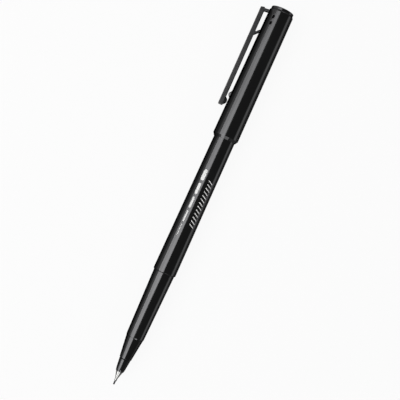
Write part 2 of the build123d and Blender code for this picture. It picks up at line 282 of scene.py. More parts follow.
class StageSizes(bpy.types.PropertyGroup):
    """Camera, floor and light of the studio."""

    aim_station: length("Aim station", "Place on the pen that the camera looks at", 75.65)
    aim_shift: length("Aim shift", "How far beside the axis it looks, away from the clip", 0.995)
    distance: length("Camera distance", "From the pen to the camera", 335.0)
    field: length("Field", "Width of the picture at that distance", 148.7)
    lean: turn("Lean", "Lean of the pen in the picture", 24.365)
    sensor: level("Sensor", "Width of the camera's sensor, in its own millimetres", 36.0)
    floor_fade: length("Floor fade", "Where the floor's white starts to fade", 350)
    floor_radius: length("Floor radius", "Flat part of the floor", 1100)
    wall_radius: length("Wall radius", "Outside of the sweep behind it", 1500)
    wall_height: length("Wall height", "Height of the sweep", 900)
    floor_white: share("Floor white", "Colour of the floor", 0.93)
    backdrop_white: share("Backdrop white", "Level of the backdrop far behind the pen", 0.5)
    floor_glow: share("Floor glow", "Share of the floor's white that keeps out of the shadow", 0.93)
    lamp_distance: length("Lamp distance", "From the pen to the lamps", 620)
    key: level("Key light", "Brightness of the large softbox on the clip's side", 3.8)
    strip: level("Strip light", "Brightness of the strip on the far side", 0.94)
    ends: level("End cards", "Brightness of the cards beyond the two ends", 1.4)
    room: level("Room light", "Brightness of the dim room", 0.19)
    flag_nib: length("Flag at the nib", "Width of the dark card beside the nib", 19)
    flag_crown: length("Flag at the crown", "Width of the dark card beside the crown", 30)
    flag_dark: share("Flag dark", "How much of the floor that card hides from gloss", 0.7)


class PenSettings(bpy.types.PropertyGroup):
    """Everything that the pen's operators read."""

    barrel: PointerProperty(type=BarrelSizes)
    section: PointerProperty(type=SectionSizes)
    tip: PointerProperty(type=TipSizes)
    cap: PointerProperty(type=CapSizes)
    clip: PointerProperty(type=ClipSizes)
    ink: PointerProperty(type=PrintSizes)
    finish: PointerProperty(type=Finishes)
    stage: PointerProperty(type=StageSizes)


# Outlines: arrays whose columns are station, height above the axis and wear, which holds painted shade below
# nought


def unit(vectors):
    """Vectors divided by their lengths."""
    return vectors / np.linalg.norm(vectors, axis=-1, keepdims=True)


def ease(value, low, high):
    """Smooth step from 0 at low to 1 at high: 3t^2 - 2t^3 of the share t between them."""
    t = np.clip((value - low) / (high - low), 0, 1)
    return t * t * (3 - 2 * t)


def winding(outline):
    """1 for an outline that runs anticlockwise and -1 for a clockwise one, from its signed area."""
    x, y = outline[:, 0], outline[:, 1]
    return np.sign((x * np.roll(y, -1) - y * np.roll(x, -1)).sum())


def soft_outline(corners, closed):
    """Outline through (station, height, round) corners, each rounded by an arc.

    An arc from A to B round the corner C is the weighted mean of A, C and B with weights
    (1-t)^2, 2t(1-t)w and t^2, where w is the sine of half the angle at C. One more point
    before A and after B keeps the shading of the straight sides flat. An open outline starts
    and ends on its first and last corners. Wear is 1 on tight outer arcs, which get rubbed, 0 on
    the sides and -1 in tight inner arcs, which stay dull and are painted darker as shade.
    """
    corner = np.array([c[:2] for c in corners], float)
    rounds = np.array([c[2] for c in corners], float)
    before = np.roll(corner, 1, axis=0) - corner
    after = np.roll(corner, -1, axis=0) - corner
    room = SIDE_SHARE * np.minimum(np.linalg.norm(before, axis=1), np.linalg.norm(after, axis=1))
    before, after = unit(before), unit(after)
    half = np.arccos(np.clip((before * after).sum(axis=1), -1, 1)) / 2
    reach = np.minimum(rounds / np.tan(half), room)[:, None]
    first, last = corner + reach * before, corner + reach * after
    t = np.linspace(0, 1, ARC_STEPS + 1)[None, :, None]
    weights = (1 - t) ** 2, 2 * t * (1 - t) * np.sin(half)[:, None, None], t ** 2
    arc = sum(w * p[:, None] for w, p in zip(weights, (first, corner, last))) / sum(weights)
    held_first = (first + SUPPORT * reach * before)[:, None]
    held_last = (last + SUPPORT * reach * after)[:, None]
    points = np.concatenate([held_first, arc, held_last], axis=1)
    bulge = np.sign(after[:, 0] * before[:, 1] - after[:, 1] * before[:, 0]) * winding(corner)
    wear_and_shade = np.zeros(points.shape[:2] + (1,))
    wear_and_shade[:, 1:-1, 0] = (bulge * np.minimum(1, WORN_ROUND / np.maximum(rounds, WORN_ROUND)))[:, None]
    outline = np.concatenate([points, wear_and_shade], axis=2)
    if closed:
        return outline.reshape(-1, 3)
    ends = np.column_stack([corner, np.zeros(len(corner))])
    return np.vstack([ends[:1], outline[1:-1].reshape(-1, 3), ends[-1:]])


def refined(outline, closed, longest=LONGEST_RUN):
    """Outline with points spread evenly over its long runs, none longer than the longest."""
    start = outline if closed else outline[:-1]
    step = np.roll(outline, -1, axis=0)[:len(start)] - start
    count = np.maximum(1, np.ceil(np.linalg.norm(step[:, :2], axis=1) / longest)).astype(int)
    run = np.repeat(np.arange(len(start)), count)
    part = (np.arange(count.sum()) - np.repeat(np.cumsum(count) - count, count)) / count[run]
    fine = start[run] + part[:, None] * step[run]
    return fine if closed else np.vstack([fine, outline[-1:]])


def with_stations(outline, stations):
    """Outline with more points at these stations, on its longest run."""
    gaps = np.linalg.norm(np.diff(outline[:, :2], axis=0), axis=1)
    at = int(gaps.argmax())
    start, end = outline[at], outline[at + 1]
    part = np.sort((stations - start[0]) / (end[0] - start[0]))
    return np.insert(outline, at + 1, start + part[:, None] * (end - start), axis=0)


def mitres(outline):
    """Inward mitre at each point of a closed outline.

    It is the sum of the two sides' inward normals over one plus their product, so that moving
    every point along it moves every side inwards by the same distance.
    """
    side = unit(np.roll(outline[:, :2], -1, axis=0) - outline[:, :2])
    normal = winding(outline) * np.column_stack([-side[:, 1], side[:, 0]])
    earlier = np.roll(normal, 1, axis=0)
    return (normal + earlier) / (1 + (normal * earlier).sum(axis=1, keepdims=True))


# Surfaces: grids of points whose columns close on themselves


def on_pen(station, radius, angle):
    """Points at a station and radius, at an angle from the clip towards the photographed side."""
    outward = np.cos(angle)[..., None] * CLIPWARD + np.sin(angle)[..., None] * FACING
    return NIB_POINT + station[..., None] * REARWARD + radius[..., None] * outward


def beside_pen(station, height, side):
    """Points at a station, a height towards the clip and a distance to the photographed side."""
    return NIB_POINT + station[..., None] * REARWARD + height[..., None] * CLIPWARD + side[..., None] * FACING


def even_angles(count=ROUND_SEGMENTS):
    """Angles of a full round, evenly spread."""
    return np.linspace(0, 2 * np.pi, count, endpoint=False)


def grid_skin(grid, wear_and_shade, ends):
    """Points, wear with painted shade, and blocks of faces of a surface over a grid whose columns close on
    themselves.

    Its ends are "ring" where the last row joins the first, "points" where the first and last
    rows shrink to a point, or "plates" where a flat face closes each.
    """
    rows, columns = grid.shape[:2]
    points, wear_and_shade = grid.reshape(-1, 3), np.broadcast_to(wear_and_shade, (rows, columns)).ravel()
    number = np.arange(rows * columns).reshape(rows, columns)
    if ends == "points":
        kept = slice(columns - 1, 1 - columns)
        points, wear_and_shade = points[kept], wear_and_shade[kept]
        number = number[1:-1] - columns + 1
    low = number if ends == "ring" else number[:-1]
    high = np.roll(number, -1, axis=0)[:len(low)]
    cells = np.stack([low, np.roll(low, -1, axis=1), np.roll(high, -1, axis=1), high], axis=-1)
    blocks = [cells.reshape(-1, 4)]
    if ends == "plates":
        blocks += [number[:1, ::-1], number[-1:]]
    if ends == "points":
        front, rear = np.zeros(columns, int), np.full(columns, len(points) - 1)
        blocks.append(np.column_stack([front, np.roll(number[0], -1), number[0]]))
        blocks.append(np.column_stack([number[-1], np.roll(number[-1], -1), rear]))
    return points, wear_and_shade, blocks


def joined(skins):
    """Several skins as one, with the later ones' faces numbered on."""
    firsts = np.cumsum([0] + [len(points) for points, _, _ in skins])
    blocks = [block + first for first, skin in zip(firsts, skins) for block in skin[2]]
    return np.vstack([s[0] for s in skins]), np.concatenate([s[1] for s in skins]), blocks


def volume(points, blocks):
    """Signed volume within closed faces: a sixth of the triple products of each face's fan."""
    fans = [(points[b[:, :1]] * np.cross(points[b[:, 1:-1]], points[b[:, 2:]])).sum() for b in blocks]
    return sum(fans) / 6


def new_object(name, skin):
    """Smooth mesh object of a skin at the origin, with its wear and painted shade as an attribute and its
    faces outwards.
    """
    points, wear_and_shade, blocks = skin
    if volume(points - points.mean(axis=0), blocks) < 0:
        blocks = [block[:, ::-1] for block in blocks]
    mesh = bpy.data.meshes.new(name)
    mesh.from_pydata(points.tolist(), [], [face for block in blocks for face in block.tolist()])
    mesh.attributes.new("wear_and_shade", "FLOAT", "POINT").data.foreach_set("value", wear_and_shade.astype(np.float32))
    if mesh.validate():
        raise RuntimeError(f"{name} has faces that aren't valid")
    mesh.shade_smooth()
    made = bpy.data.objects.new(name, mesh)
    bpy.context.scene.collection.objects.link(made)
    return made


def lathe(corners, closed=True):
    """Skin of an outline turned about the pen: its radius carried round the axis.

    A closed outline makes a hollow ring, and an open one starts and ends on the axis.
    """
    outline = refined(soft_outline(corners, closed), closed)
    station, radius, wear_and_shade = (column[:, None] for column in outline.T)
    grid = on_pen(station, radius, even_angles()[None, :])
    return grid_skin(grid, wear_and_shade, "ring" if closed else "points")


def place(piece, material, body, slot, *nodes):
    """Gives a piece its finish, its body and the CAD nodes that it stands for."""
    piece.data.materials.append(material)
    if body:
        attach(piece, body)
    if nodes:
        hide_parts(*nodes)
    for node in nodes:
        dress(node, material)


def dress(node, material):
    """Puts a finish into a CAD node's material slots."""
    for material_slot in frame["nodes"][node].material_slots:
        material_slot.material = material


# Finishes


class Signal:
    """An output of a material's node, which takes part in sums.

    Each operator adds a Math node, and the node method adds any other kind.
    """

    def __init__(self, tree, socket=None):
        self.tree = tree
        self.socket = socket

    def node(self, kind, settings=None, inputs=None, output=0):
        """New node with its settings and its sockets' values or links, as a signal of one output."""
        made = self.tree.nodes.new(kind)
        for name, value in (settings or {}).items():
            setattr(made, name, value)
        for name, value in (inputs or {}).items():
            if isinstance(value, Signal):
                self.tree.links.new(value.socket, made.inputs[name])
            else:
                made.inputs[name].default_value = value
        return Signal(self.tree, made.outputs[output] if made.outputs else None)

    def math(self, operation, *values):
        """Math node of that operation over numbers and signals."""
        return self.node("ShaderNodeMath", {"operation": operation}, dict(enumerate(values)))

    def __add__(self, other):
        return self.math("ADD", self, other)

    def __radd__(self, other):
        return self.math("ADD", other, self)

    def __sub__(self, other):
        return self.math("SUBTRACT", self, other)

    def __mul__(self, other):
        return self.math("MULTIPLY", self, other)

    def __rmul__(self, other):
        return self.math("MULTIPLY", other, self)

    def between(self, low, high):
        """Smooth step of this value from 0 at low to 1 at high."""
        settings = {"interpolation_type": "SMOOTHSTEP"}
        return self.node("ShaderNodeMapRange", settings, {"Value": self, "From Min": low, "From Max": high})

    def blend(self, first, second):
        """Colour from first to second by this value."""
        settings = {"data_type": "RGBA", "clamp_factor": True}
        return self.node("ShaderNodeMix", settings, {0: self, 6: first, 7: second}, output=2)


def opaque(linear, factor=1.0):
    """Colour property times a factor, with full opacity, for a colour socket."""
    return (*(min(1.0, factor * c) for c in linear), 1.0)


def grey(value):
    """Grey of that value, for a colour socket."""
    return opaque([value] * 3)


def new_finish(name):
    """Empty node material, and the signal that starts its nodes."""
    material = bpy.data.materials.new(name)
    material.use_nodes = True
    material.node_tree.nodes.clear()
    return material, Signal(material.node_tree)


def seal(material, surface):
    """Joins a surface to the material's output."""
    surface.node("ShaderNodeOutputMaterial", inputs={"Surface": surface})
    return material


def noise(coordinates, stretch, detail):
    """Noise over object coordinates, with as many waves in a metre along each axis as stretch says."""
    spread = coordinates.node("ShaderNodeMapping", inputs={"Vector": coordinates, "Scale": stretch})
    inputs = {"Vector": spread, "Scale": 1.0, "Detail": detail}
    return coordinates.node("ShaderNodeTexNoise", inputs=inputs)


def relief(height, depth):
    """Normal of a surface that rises by the height signal times the depth in metres."""
    return height.node("ShaderNodeBump", inputs={"Height": height, "Distance": depth, "Strength": 1.0})


def object_place(start):
    """Object coordinates: places in the frame, in metres."""
    return start.node("ShaderNodeTexCoord", output="Object")


def edge_wear_and_shade(start):
    """Wear and painted shade of the mesh: up to 1 on edges and down to -1 in recesses, where the shade is
    painted.
    """
    return start.node("ShaderNodeAttribute", {"attribute_name": "wear_and_shade"}, output="Fac")


def rubbed_edges(start, coordinates):
    """Share of rubbing: the wear of edges, broken up by noise."""
    return edge_wear_and_shade(start).between(0, 1) * noise(coordinates, (700, 700, 700), detail=3).between(0.35, 0.7)


# Shine at grazing angles as a share of a mirror's, and the painted shade of recesses: their colour as a share
# of a moulding's
PLASTIC_RIM = 0.3
STEEL_RIM = 0.5
RECESS_SHADE_SHARE = 0.2


def moulded_plastic(name, base, rubbed, roughness):
    """Black moulding: cloudy gloss, hairline scuffs along the pen, faint flow, rubbed edges, and painted
    shade that darkens recesses.

    A body that is black all through only mirrors, so it is set as a dark mirror. Its colour is the
    share that it mirrors head-on, and the rim's shine is held down as its fine texture does.
    """
    material, start = new_finish(name)
    at = object_place(start)
    cloud = noise(at, (90, 160, 160), detail=3)
    grain = noise(at, (2400, 2400, 2400), detail=2)
    scuff = noise(at, (130, 3400, 3400), detail=3).between(0.6, 0.78)
    rub = rubbed_edges(start, at)
    flow = noise(at, (60, 110, 110), detail=2)
    tint = 0.105 * cloud.between(0.3, 0.75) + 0.16 * scuff + 0.55 * rub
    # Painted shade: recesses and tight inner arcs are darkened in colour, as well as made rough.
    painted_recess_shade = edge_wear_and_shade(start).between(0, -1)
    rough = roughness + 0.08 * (cloud - 0.5) + 0.1 * scuff + 0.16 * rub + 0.05 * (grain - 0.5) + 0.7 * painted_recess_shade
    height = flow + 0.035 * grain - 0.02 * scuff
    face = tint.blend(opaque(base), opaque(rubbed))
    surface = start.node("ShaderNodeBsdfPrincipled", inputs={
        "Base Color": painted_recess_shade.blend(face, opaque(base, RECESS_SHADE_SHARE)),
        "Metallic": 1.0,
        "Specular Tint": grey(PLASTIC_RIM),
        "Roughness": rough,
        "Normal": relief(height, depth=0.02 * MM),
    })
    return seal(material, surface)


def drawn_steel(name, base, roughness, ink_start, ink_end):
    """Bright drawn metal: fine rings round the tip, faint stains, brighter rolled edges and dried ink.

    The ink darkens it more and more between two places along the pen.
    """
    material, start = new_finish(name)
    at = object_place(start)
    rings = noise(at, (9000, 260, 260), detail=2)
    stain = noise(at, (900, 900, 900), detail=3).between(0.45, 0.8)
    rub = rubbed_edges(start, at)
    along = start.node("ShaderNodeSeparateXYZ", inputs={"Vector": at}, output="X")
    dried = along.between(ink_start, ink_end) * (0.7 + 0.6 * stain)
    tone = (0.35 * stain + 0.25 * rings.between(0.4, 0.8)).blend(opaque(base), opaque(base, 0.62))
    surface = start.node("ShaderNodeBsdfPrincipled", inputs={
        "Base Color": dried.blend(rub.blend(tone, opaque(base, 1.2)), opaque(base, 0.3)),
        "Metallic": 1.0,
        "Specular Tint": grey(STEEL_RIM),
        "Roughness": roughness + 0.1 * (rings - 0.5) + 0.12 * stain + 0.15 * dried,
        "Normal": relief(rings, depth=0.0012 * MM),
    })
    return seal(material, surface)


WET_FIBRE_IOR = 1.33


def ink_fibre(name, base):
    """Bundled fibre soaked with ink: fine strands along the pen, wet and dry streaks."""
    material, start = new_finish(name)
    at = object_place(start)
    strands = noise(at, (500, 14000, 14000), detail=2)
    streaks = noise(at, (300, 2500, 2500), detail=3)
    dry = 0.6 * strands + 0.4 * streaks.between(0.4, 0.7)
    surface = start.node("ShaderNodeBsdfPrincipled", inputs={
        "Base Color": dry.blend(opaque(base), opaque(base, 2.6)),
        "Roughness": 0.5 + 0.25 * streaks,
        "IOR": WET_FIBRE_IOR,
        "Normal": relief(strands, depth=0.012 * MM),
    })
    return seal(material, surface)


def pale_plastic(name, base, roughness):
    """Natural moulding or film: faint clouds, fine grain and scuffs that dull it."""
    material, start = new_finish(name)
    at = object_place(start)
    cloud = noise(at, (180, 260, 260), detail=3)
    scuff = noise(at, (300, 4000, 4000), detail=3).between(0.58, 0.75)
    grain = noise(at, (3000, 3000, 3000), detail=2)
    surface = start.node("ShaderNodeBsdfPrincipled", inputs={
        "Base Color": (0.7 * cloud + 0.3 * scuff).blend(opaque(base), opaque(base, 0.82)),
        "Roughness": roughness + 0.12 * (cloud - 0.5) + 0.15 * scuff,
        "Normal": relief(grain, depth=0.001 * MM),
    })
    return seal(material, surface)


def white_ink(name, base, under):
    """Thin white ink: slightly uneven cover with pinholes that let the black through."""
    material, start = new_finish(name)
    at = object_place(start)
    thin = noise(at, (500, 900, 900), detail=3).between(0.5, 0.85)
    pinholes = noise(at, (5200, 5200, 5200), detail=1).between(0.72, 0.8)
    surface = start.node("ShaderNodeBsdfPrincipled", inputs={
        "Base Color": (0.14 * thin + 0.5 * pinholes).blend(opaque(base), opaque(under)),
        "Roughness": 0.5 + 0.2 * thin,
        "Specular IOR Level": 0.3,
        "Normal": relief(thin, depth=0.002 * MM),
    })
    return seal(material, surface)


def studio_paper(name, white, far, glow, near_radius, far_radius):
    """White paper that fades to grey far away.

    A share of its white reaches the camera, gloss and glass without the lamps, and the rest
    keeps the pen's shadow.
    """
    material, start = new_finish(name)
    at = object_place(start)
    from_middle = start.node("ShaderNodeVectorMath", {"operation": "LENGTH"}, {0: at}, output="Value")
    distance = from_middle.between(near_radius, far_radius)
    fibres = noise(at, (260, 260, 260), detail=4)
    camera, gloss, glass = (start.node("ShaderNodeLightPath", output=f"Is {kind} Ray")
                            for kind in ("Camera", "Glossy", "Transmission"))
    seen = start.math("MAXIMUM", start.math("MAXIMUM", camera, gloss), glass)
    paper = start.node("ShaderNodeBsdfDiffuse", inputs={
        "Color": (0.04 * fibres).blend(grey(white), grey(0.9 * white)),
    })
    light = start.node("ShaderNodeEmission", inputs={
        "Color": distance.blend(grey(1.0), grey(far)),
        "Strength": 1.0,
    })
    share_seen = seen * (glow + (1 - glow) * distance)
    surface = start.node("ShaderNodeMixShader", inputs={0: share_seen, 1: paper, 2: light})
    return seal(material, surface)


def painted_dark_reflection_cloth(name):
    """Black cloth of the card that paints dark reflections; it clears where the card's shade mask falls off,
    so that its edge is soft.
    """
    material, start = new_finish(name)
    dark = start.node("ShaderNodeAttribute", {"attribute_name": "shade"}, output="Fac")
    cloth = start.node("ShaderNodeBsdfDiffuse", inputs={"Color": grey(0.0)})
    clear = start.node("ShaderNodeBsdfTransparent")
    return seal(material, start.node("ShaderNodeMixShader", inputs={0: dark, 1: clear, 2: cloth}))


def shared_finish(name, make, *values):
    """Finish of that name, made the first time it is asked for."""
    return bpy.data.materials.get(name) or make(name, *values)


def gloss_black(finish):
    """Gloss black that barrel, section and cap share."""
    return shared_finish("gloss_black", moulded_plastic, finish.black, finish.rubbed, finish.gloss)


# Pieces


class PEN_OT_barrel(bpy.types.Operator):
    """Turns the barrel tube and the plug in its rear end"""

    bl_idname = "pen.barrel"
    bl_label = "Barrel and Plug"

    def execute(self, context):
        pen = context.scene.pen
        size = pen.barrel
        black = gloss_black(pen.finish)
        front, rear, widest = span("barrel_tube")
        socket_end = front + size.socket_depth
        tube = lathe([
            (front, size.socket_radius, size.edge_round / 2),
            (front, widest - size.edge_drop, size.edge_round),
            (front + size.edge_length, widest, size.edge_round),
            (rear, size.rear_radius, size.edge_round),
            (rear, size.bore, size.edge_round),
            (socket_end, size.bore, size.edge_round),
            (socket_end, size.socket_radius, size.edge_round),
        ])
        place(new_object("barrel_body", tube), black, "barrel", "barrel_black", "barrel_tube")
        plug_front, plug_rear, flange = span("rear_plug")
        tenon = size.bore - size.plug_fit
        cored = tenon - size.plug_wall
        seat = plug_rear - size.plug_flange
        plug = lathe([
            (seat, 0, 0),
            (seat, cored, size.edge_round),
            (plug_front, cored, size.edge_round),
            (plug_front, tenon, size.edge_round),
            (seat, tenon, size.edge_round),
            (seat, flange, size.edge_round),
            (plug_rear, flange, 2 * size.edge_round),
            (plug_rear, 0, 0),
        ], closed=False)
        place(new_object("barrel_end_plug", plug), black, "barrel", "barrel_black", "rear_plug")
        return {"FINISHED"}


def barrel_radius(station, size):
    """Outside of the barrel at a station, on the straight line between its two ends."""
    front, rear, widest = span("barrel_tube")
    return np.interp(station, [front + size.edge_length, rear], [widest, size.rear_radius])


# Rows along a stroke, and its cross-section as shares of its half width and of the ink's thickness
STROKE_ROWS = 41
STROKE_ACROSS = np.array([-1, -0.9, -0.5, 0, 0.5, 0.9, 1, 0.9, 0.5, 0, -0.5, -0.9])
STROKE_LIFT = np.array([0, 1, 1, 1, 1, 1, 0, -1, -1, -1, -1, -1])


def ink_stroke(start, end, width, angle, thickness, barrel):
    """Skin of a thin stroke of ink on the barrel, with round ends.

    It runs between two (station, distance round) places, the distance counted from the angle.
    Its half width at a place is the square root of r^2 less the square of how far the place
    lies beyond the centres of its end circles, and a flat lens of ink is carried along it.
    """
    start, end = np.array(start), np.array(end)
    half, reach = width / 2, np.linalg.norm(end - start) / 2
    ahead = unit(end - start)
    beside = np.array([-ahead[1], ahead[0]])
    along = -np.cos(np.linspace(0, np.pi, STROKE_ROWS)) * reach
    beyond = np.maximum(np.abs(along) - (reach - half), 0)
    half_width = np.sqrt(np.maximum(half ** 2 - beyond ** 2, 0))[:, None]
    across = half_width * STROKE_ACROSS
    lift = STROKE_LIFT * (half_width > 0)
    flat = (start + end) / 2 + along[:, None, None] * ahead + across[..., None] * beside
    station, around = flat[..., 0], flat[..., 1]
    radius = barrel_radius(station, barrel)
    grid = on_pen(station, radius + thickness * lift, angle + around / radius)
    return grid_skin(grid, np.zeros((1, 1)), "points")


class PEN_OT_print(bpy.types.Operator):
    """Lays the plain white print on the barrel: strokes of growing weight over a row of hatching"""

    bl_idname = "pen.print"
    bl_label = "Barrel Print"

    def execute(self, context):
        pen = context.scene.pen
        size = pen.ink
        weights = np.linspace(size.finest, size.boldest, size.strokes)
        starts = size.stroke_start + np.arange(size.strokes) * (size.stroke + size.gap)
        marks = [((start, 0), (start + size.stroke, 0), width, size.stroke_turn)
                 for start, width in zip(starts, weights)]
        half = size.hatch_height / 2
        marks += [((start, half), (start + size.hatch_slant, -half), size.hatch_width, size.hatch_turn)
                  for start in size.hatch_start + np.arange(size.hatches) * size.hatch_pitch]
        skin = joined([ink_stroke(*mark, size.thickness, pen.barrel) for mark in marks])
        white = shared_finish("white_ink", white_ink, pen.finish.ink, pen.finish.black)
        place(new_object("barrel_print", skin), white, "barrel", None)
        return {"FINISHED"}


class PEN_OT_section(bpy.types.Operator):
    """Turns the grip section with its fine shoulder, and the nozzle in front of it"""

    bl_idname = "pen.section"
    bl_label = "Section and Nozzle"

    def execute(self, context):
        pen = context.scene.pen
        size = pen.section
        soft = size.edge_round
        black = gloss_black(pen.finish)
        front, rear, grip_radius = span("grip_section")
        barrel_front = span("barrel_tube")[0]
        kink = front + size.taper
        seat = barrel_front - size.seat
        socket = size.nozzle_tenon + soft / 2
        socket_end = front + size.nozzle_socket
        section = lathe([
            (front, socket, soft / 2),
            (front, size.front_radius - size.front_edge, soft),
            (front + size.front_edge, size.front_radius, soft),
            (kink - size.shoulder_length, size.kink_radius - size.shoulder_drop, soft),
            (kink, size.kink_radius, soft),
            (barrel_front, grip_radius, soft),
            (barrel_front, size.tenon_radius, soft),
            (rear, size.tenon_radius, soft),
            (rear, size.bore, soft),
            (seat, size.bore, soft),
            (seat, size.wick_way, soft),
            (socket_end, size.wick_way, soft),
            (socket_end, socket, soft),
        ])
        place(new_object("section_body", section), black, "barrel", "section_black", "grip_section")
        nose, tenon_end, nozzle_radius = span("nozzle")
        nozzle = lathe([
            (nose, size.nozzle_bore, size.nose_lip / 3),
            (nose, size.nozzle_bore + size.nose_lip, size.nose_lip),
            (nose + size.nose_length, size.nose_radius, size.nose_round),
            (front - size.nozzle_edge, nozzle_radius, soft),
            (front, nozzle_radius - size.nozzle_drop, soft),
            (front, size.nozzle_tenon, soft),
            (tenon_end, size.nozzle_tenon, soft),
            (tenon_end, size.nozzle_bore, soft),
        ])
        place(new_object("nozzle_body", nozzle), black, "barrel", "section_black", "nozzle")
        return {"FINISHED"}


class PEN_OT_tip(bpy.types.Operator):
    """Turns the drawn metal tip and the nib, and dresses the wick and reservoir behind them"""

    bl_idname = "pen.tip"
    bl_label = "Tip, Nib and Reservoir"

    def execute(self, context):
        pen = context.scene.pen
        size, finish = pen.tip, pen.finish
        mouth, shank_end, shank = span("metal_tip")
        cone_front = mouth + size.sleeve
        cone_rear = cone_front + size.cone
        rolled = size.rolled_edge
        tip = lathe([
            (mouth, size.sleeve_bore, rolled),
            (mouth, size.sleeve_radius, rolled),
            (cone_front, size.sleeve_radius, size.cone_round),
            (cone_rear, shank, rolled),
            (shank_end, shank, rolled),
            (shank_end, size.shank_bore, rolled),
            (cone_rear, size.shank_bore, rolled),
            (cone_rear, size.sleeve_bore, rolled),
        ])
        ink_places = [NIB_POINT[0] - station for station in (mouth + size.sleeve / 2, mouth)]
        steel = shared_finish("drawn_steel", drawn_steel, finish.steel, finish.steel_roughness, *ink_places)
        place(new_object("tip_sleeve", tip), steel, "barrel", "tip_steel", "metal_tip")
        point, nib_end, nib_shank = span("nib")
        nib = lathe([
            (point, 0, 0),
            (point, size.nib_radius, size.nib_round),
            (cone_rear, size.nib_radius, rolled),
            (cone_rear, nib_shank, rolled),
            (nib_end, nib_shank, rolled),
            (nib_end, 0, 0),
        ], closed=False)
        fibre = shared_finish("ink_fibre", ink_fibre, finish.fibre)
        place(new_object("nib_point", nib), fibre, "barrel", "nib_fibre", "nib")
        dress("feed_wick", fibre)
        dress("ink_reservoir", shared_finish("reservoir_fibre", ink_fibre, finish.reservoir))
        dress("reservoir_wrap", shared_finish("wrap_film", pale_plastic, finish.film, finish.film_roughness))
        return {"FINISHED"}


def cap_radius(station, size):
    """Outside of the cap at a station, on the straight line from its lip to its rear end."""
    mouth, rear, lip_radius = span("cap_shell")
    return lip_radius + (station - mouth - size.lip_length) / (rear - mouth - size.lip_length) * (
        size.rear_radius - lip_radius)


# Fine step of the cap's grid, and how far it reaches from a vent and the pip, as shares of their lengths
FINE_STEP = 0.05 * MM
VENT_REACH = 0.7
PIP_REACH = 0.6


def vent_stations(size):
    """Stations of the vents' middles, from the cap's rear end forwards."""
    return span("cap_shell")[1] - size.vent_setback - np.arange(size.vent_count) * size.vent_pitch


def pip_rise(station, angle, size, pip_width):
    """Height of the pip at places on the cap.

    It is the square of one less the squared share of its half length, eased off at both sides.
    """
    around = np.angle(np.exp(1j * angle)) * cap_radius(station, size)
    behind = np.minimum(np.abs(station - size.pip_station) / (size.pip_length / 2), 1)
    held = 1 - ease(np.abs(around), pip_width / 2 - size.pip_side, pip_width / 2)
    return size.pip_height * (1 - behind ** 2) ** 2 * held


def vent_share(station, angle, size):
    """Share of a vent's depth at places on the cap.

    It is a smooth step of the distance to the slot's middle line, less the slot's half width.
    """
    half_run = (size.vent_length - size.vent_width) / 2
    beside = (angle - size.vent_turn) * cap_radius(station, size)
    from_middle = np.abs(station - vent_stations(size)[:, None, None]).min(axis=0)
    distance = np.hypot(np.maximum(from_middle - half_run, 0), beside) - size.vent_width / 2
    return ease(-distance, -size.vent_edge, size.vent_edge)


def fine_band(middle, reach):
    """Places at the fine step across a band."""
    return middle + np.arange(-reach, reach, FINE_STEP)


def cap_angles(size, pip_width):
    """Angles round the cap, closer together beside the pip and across the vents."""
    per_metre = 1 / size.rear_radius
    vents = size.vent_turn + fine_band(0, size.vent_width) * per_metre
    pip_ends = fine_band(pip_width / 2 - size.pip_side / 2, size.pip_side) * per_metre
    close = np.concatenate([vents, pip_ends, -pip_ends])
    plain = even_angles()
    apart = np.abs(np.angle(np.exp(1j * (plain[:, None] - close[None, :])))).min(axis=1)
    return np.sort(np.concatenate([plain[apart > FINE_STEP * per_metre], close]) % (2 * np.pi))


class PEN_OT_cap(bpy.types.Operator):
    """Forms the cap tube with its bevelled mouth, the pip under the clip and the vents"""

    bl_idname = "pen.cap"
    bl_label = "Cap"

    def execute(self, context):
        pen = context.scene.pen
        size = pen.cap
        pip_width = pen.clip.width
        mouth, rear, lip_radius = span("cap_shell")
        edge = rear - size.rear_edge
        outline = soft_outline([
            (mouth, size.mouth_bore, size.edge_round),
            (mouth, size.mouth_bore + size.lip_face, size.edge_round),
            (mouth + size.lip_length, lip_radius, size.lip_round),
            (edge, cap_radius(edge, size), size.rear_round),
            (rear, size.rear_radius - size.rear_drop, size.edge_round),
            (rear, size.rear_bore, size.edge_round),
        ], closed=True)
        bands = [fine_band(vent, VENT_REACH * size.vent_length) for vent in vent_stations(size)]
        bands.append(fine_band(size.pip_station, PIP_REACH * size.pip_length))
        outline = refined(with_stations(outline, np.concatenate(bands)), closed=True)
        station, radius, wear_and_shade = (column[:, None] for column in outline.T)
        angle = cap_angles(size, pip_width)[None, :]
        outside = radius > (size.mouth_bore + lip_radius) / 2
        vents = outside * vent_share(station, angle, size)
        rise = outside * pip_rise(station, angle, size, pip_width) - vents * size.vent_depth
        # The vents' depth share is taken off the wear, so that their floors get painted shade.
        skin = grid_skin(on_pen(station, radius + rise, angle), wear_and_shade - vents, "ring")
        place(new_object("cap_body", skin), gloss_black(pen.finish), "cap", "cap_black", "cap_shell")
        return {"FINISHED"}


